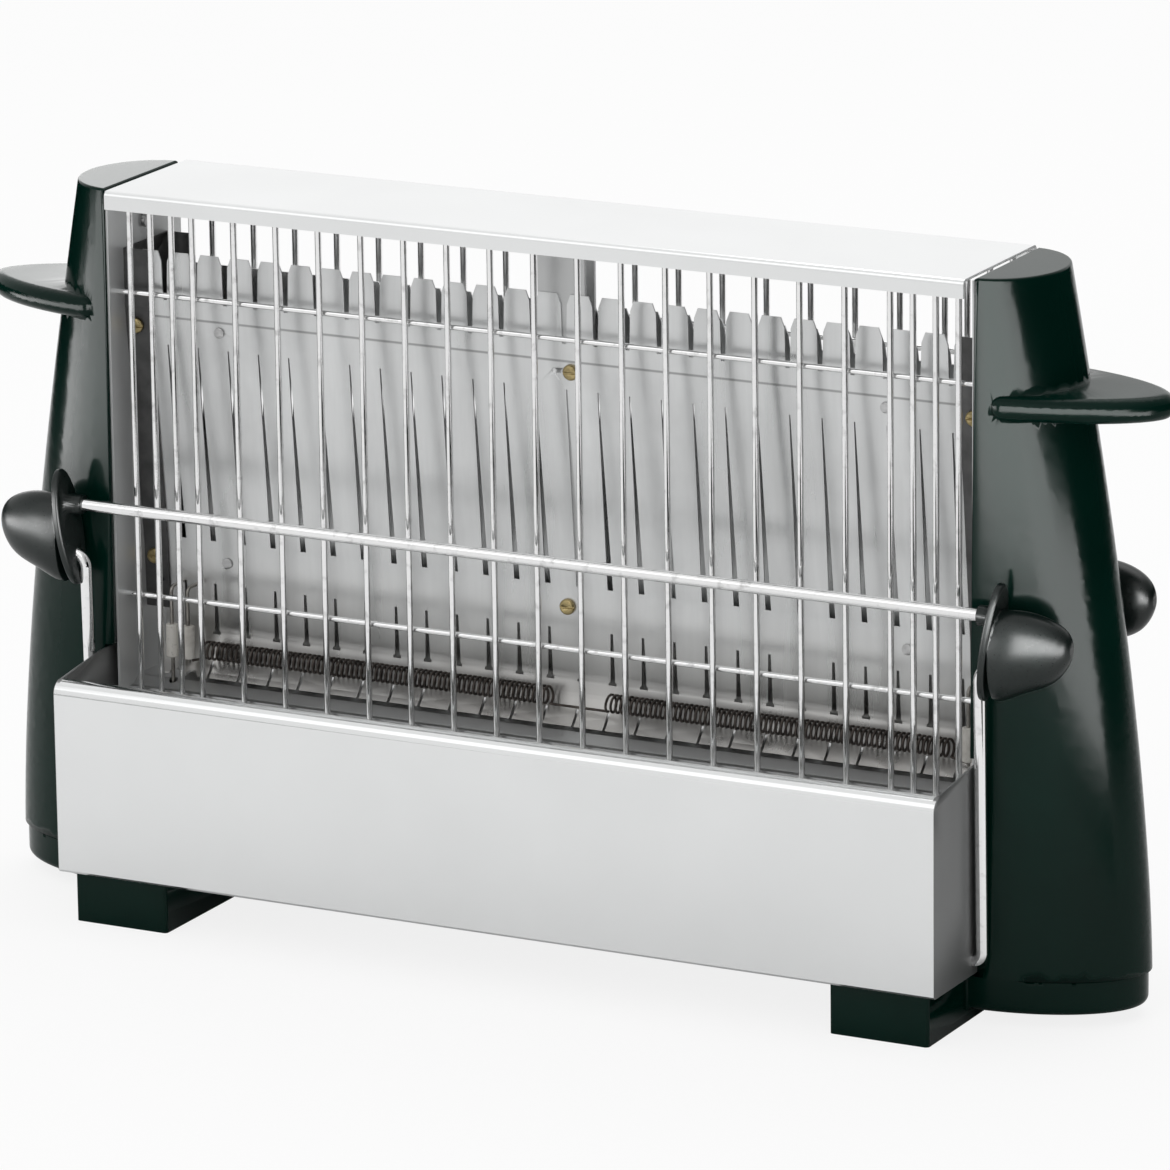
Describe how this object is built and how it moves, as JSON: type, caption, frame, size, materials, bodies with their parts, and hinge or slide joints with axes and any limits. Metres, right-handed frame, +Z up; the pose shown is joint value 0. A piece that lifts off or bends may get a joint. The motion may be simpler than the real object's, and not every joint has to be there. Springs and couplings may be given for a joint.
{
  "type": "two-sided toaster",
  "caption": "Open-sided toaster with bright sheet troughs, wire guards over slitted reflectors, dark end caps with oval handles, and a swinging wire holder with moulded knobs on each side.",
  "frame": {"origin": "on the table, in the middle of the length and of the depth", "axes": "+X along the length to the right, -Y towards the front panel that the picture shows, +Z up"},
  "size_m": [0.4016, 0.1132, 0.227],
  "materials": {
    "bright_sheet": "bright chromed sheet steel",
    "plain_sheet": "plain rolled steel sheet",
    "dark_moulding": "very dark green moulded phenolic, semi-gloss",
    "chromed_wire": "chromed round steel wire",
    "reflector_sheet": "aluminised reflector sheet with fine streaks",
    "dark_channel": "dark oxidised steel channel",
    "brass": "plain brass",
    "zinc_steel": "zinc-plated steel",
    "heater_wire": "oxidised resistance wire",
    "ceramic": "off-white fired ceramic",
    "lead_wire": "nickel wire leads",
    "grommet": "black rubber",
    "knob_moulding": "black moulded phenolic, polished"
  },
  "bodies": {
    "toaster_frame": {"base_left": "dark_moulding", "base_right": "dark_moulding", "base_screws": "zinc_steel", "bottom_plate": "plain_sheet", "cap_screws": "zinc_steel", "ceramic_beads_front": "ceramic", "ceramic_beads_rear": "ceramic", "cord_gland": "grommet", "crossing_lead_left": "lead_wire", "crossing_lead_right": "lead_wire", "end_cap_left": "dark_moulding", "end_cap_right": "dark_moulding", "end_plate_left": "bright_sheet", "end_plate_right": "bright_sheet", "guard_front": "chromed_wire", "guard_rear": "chromed_wire", "hanger_strap": "plain_sheet", "heater_tray": "plain_sheet", "heating_coil_front": "heater_wire", "heating_coil_rear": "heater_wire", "reflector_front": "reflector_sheet", "reflector_rail_left": "dark_channel", "reflector_rail_right": "dark_channel", "reflector_rear": "reflector_sheet", "reflector_rivets": "zinc_steel", "reflector_screws": "brass", "supply_lead_front": "lead_wire", "supply_lead_rear": "lead_wire", "terminal_block": "ceramic", "terminal_screws": "brass", "top_cover": "bright_sheet", "trough_front": "bright_sheet", "trough_rear": "bright_sheet"},
    "front_holder": {"holder_wire_front": "chromed_wire", "knob_front_left": "knob_moulding", "knob_front_right": "knob_moulding"},
    "rear_holder": {"holder_wire_rear": "chromed_wire", "knob_rear_left": "knob_moulding", "knob_rear_right": "knob_moulding"}
  },
  "joints": [
    {"name": "front_holder_swing", "type": "hinge", "parent": "toaster_frame", "child": "front_holder", "pos_m": [0, -0.0287, 0.0207], "axis": [1, 0, 0], "range_deg": [0, 35]},
    {"name": "rear_holder_swing", "type": "hinge", "parent": "toaster_frame", "child": "rear_holder", "pos_m": [0, 0.0287, 0.0207], "axis": [-1, 0, 0], "range_deg": [0, 35]}
  ]
}
